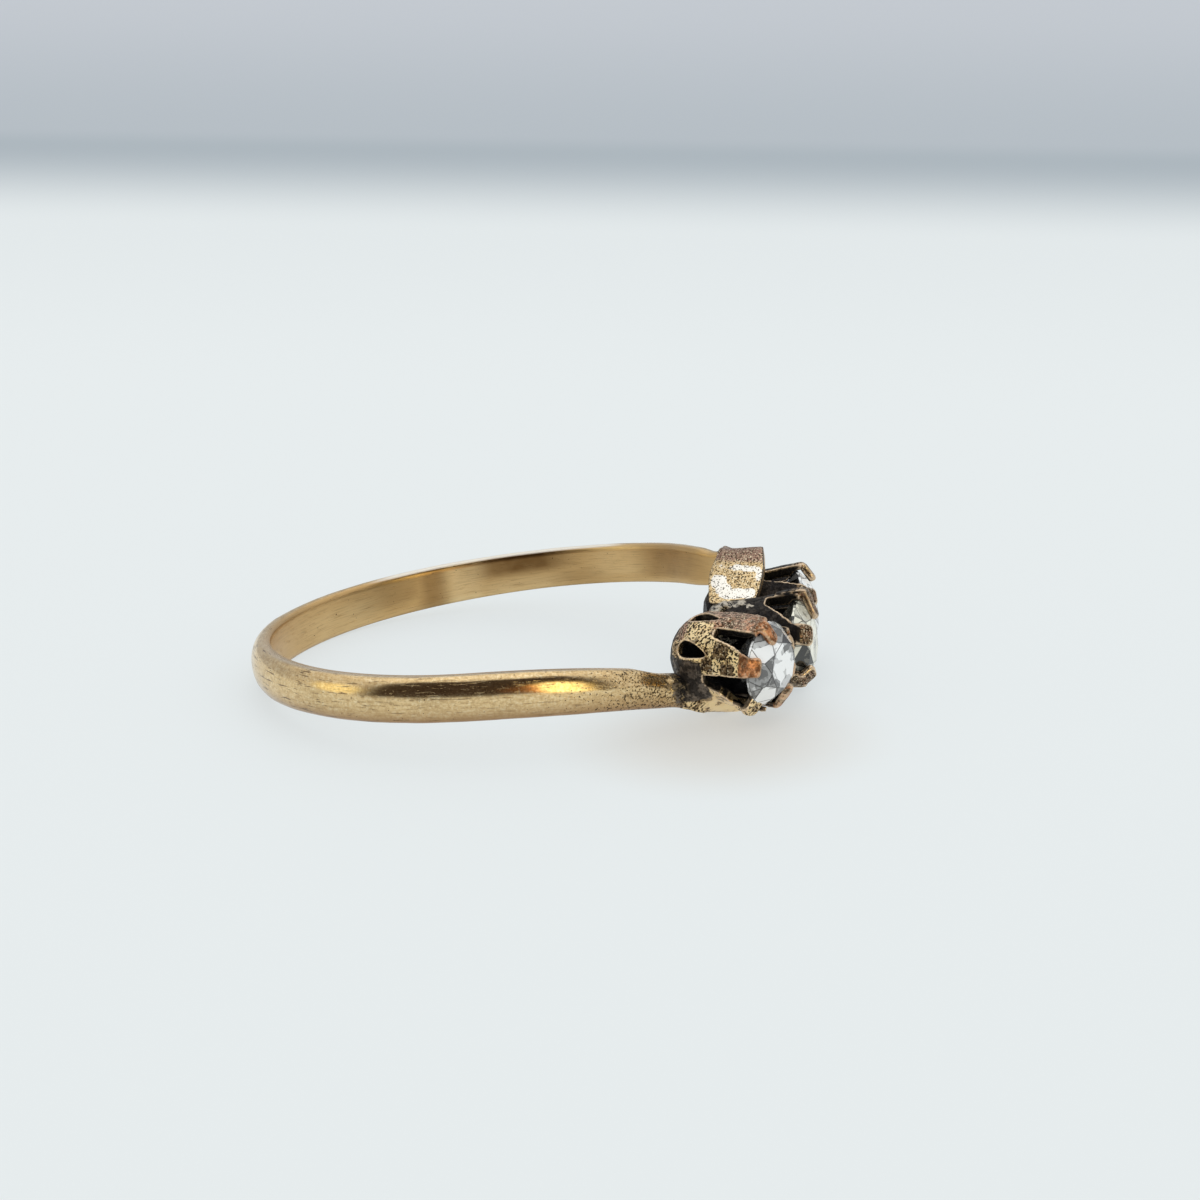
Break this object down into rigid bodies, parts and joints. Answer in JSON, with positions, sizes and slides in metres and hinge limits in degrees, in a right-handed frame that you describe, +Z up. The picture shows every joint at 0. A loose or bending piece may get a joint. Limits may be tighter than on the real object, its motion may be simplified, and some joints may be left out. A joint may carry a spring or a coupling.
{
  "type": "three stone ring",
  "caption": "Worn gold finger ring lying on its side: a thin domed band whose ends sweep past each other, holding a row of pierced claw collets with old cut stones.",
  "frame": {"origin": "middle of the footprint, on the surface that the ring rests on", "axes": "+X from the back of the band towards the stones, +Z up from the resting surface; the finger hole's axis leans about 5 degrees from +Z"},
  "size_m": [0.0222, 0.0186, 0.0047],
  "materials": {
    "gold": "worn satin gold with dark tarnish in the recesses",
    "stone": "clear, old cut facets",
    "warm_stone": "clear with a warm grey cast, old cut facets"
  },
  "bodies": {
    "root": {"gold_mount": "gold", "near_stone": "stone", "middle_stone": "warm_stone", "far_stone": "stone"}
  },
  "joints": []
}
